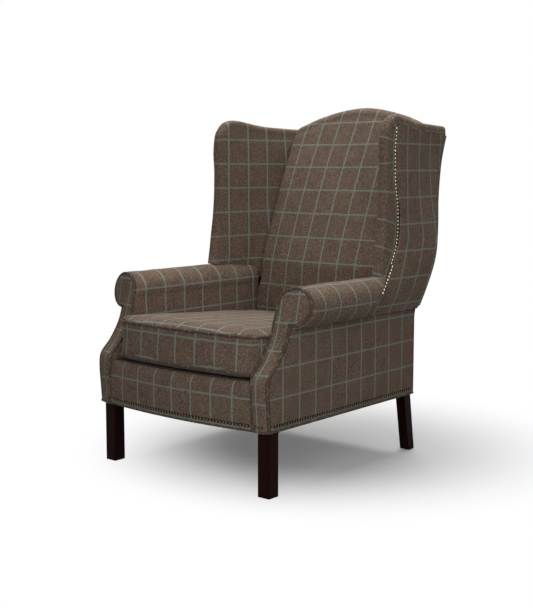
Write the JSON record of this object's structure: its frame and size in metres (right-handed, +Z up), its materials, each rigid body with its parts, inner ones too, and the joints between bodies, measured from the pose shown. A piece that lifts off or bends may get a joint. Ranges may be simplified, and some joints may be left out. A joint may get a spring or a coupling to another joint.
{
  "type": "wing-back armchair",
  "caption": "Upholstered wing-back fireside chair with scroll arms, camel-back crest, loose piped seat cushion, nail-head trim, square front legs and raked rear legs.",
  "frame": {"origin": "on the floor under the middle of the chair's bounding box", "axes": "+Z up; the sitter looks along -Y; +X is the sitter's left"},
  "size_m": [0.814, 1.0032, 1.127],
  "materials": {
    "mahogany": "dark polished mahogany, rubbed to red-brown on the edges",
    "beech": "planed, unfinished",
    "plywood": "sanded, unfinished",
    "tweed": "wool windowpane-check tweed, taupe-brown with pale duck-egg lines, slightly hairy",
    "piping": "self piping cut from the same tweed",
    "antique_brass": "antiqued, dark in the hollows and bright on the crowns",
    "spring_steel": "drawn wire, lightly oiled",
    "webbing": "woven jute",
    "deck_cloth": "plain dark cotton platform cloth",
    "dust_cloth": "black bottom cloth",
    "glide_plastic": "moulded, matte",
    "zip_tape": "woven tape with nylon coils",
    "zip_slider": "antiqued, pressed"
  },
  "bodies": {
    "chair": {"leg_front_left": "mahogany", "leg_front_right": "mahogany", "back_post_left": "mahogany", "back_post_right": "mahogany", "glide_front_left": "glide_plastic", "glide_front_right": "glide_plastic", "glide_rear_left": "glide_plastic", "glide_rear_right": "glide_plastic", "front_rail": "beech", "side_rail_left": "beech", "side_rail_right": "beech", "back_rail": "beech", "stay_rail": "beech", "crest_rail": "beech", "corner_blocks": "beech", "arm_post_left": "beech", "arm_post_right": "beech", "arm_board_left": "beech", "arm_board_right": "beech", "wing_board_left": "plywood", "wing_board_right": "plywood", "seat_springs": "spring_steel", "back_webbing": "webbing", "seat_deck": "deck_cloth", "dust_cover": "dust_cloth", "front_border": "tweed", "base_welt": "piping", "base_studs_front": "antique_brass", "base_studs_left": "antique_brass", "base_studs_right": "antique_brass", "outside_arm_left": "tweed", "outside_arm_right": "tweed", "arm_pad_left": "tweed", "arm_pad_right": "tweed", "arm_facing_left": "tweed", "arm_facing_right": "tweed", "facing_welt_left": "piping", "facing_welt_right": "piping", "inside_back": "tweed", "outside_back": "tweed", "inside_wing_left": "tweed", "inside_wing_right": "tweed", "wing_roll_left": "tweed", "wing_roll_right": "tweed", "wing_studs_left": "antique_brass", "wing_studs_right": "antique_brass", "outside_wing_left": "tweed", "outside_wing_right": "tweed"},
    "cushion": {"seat_cushion": "tweed", "cushion_welt_top": "piping", "cushion_welt_bottom": "piping", "cushion_zip": "zip_tape"},
    "zip_slider": {"zip_slider": "zip_slider"}
  },
  "joints": [
    {"name": "cushion_lift", "type": "slide", "parent": "chair", "child": "cushion", "axis": [0, -0.9397, 0.342], "range_m": [0, 0.7]},
    {"name": "zip_run", "type": "slide", "parent": "cushion", "child": "zip_slider", "axis": [1, 0, 0], "range_m": [0, 0.454]}
  ]
}
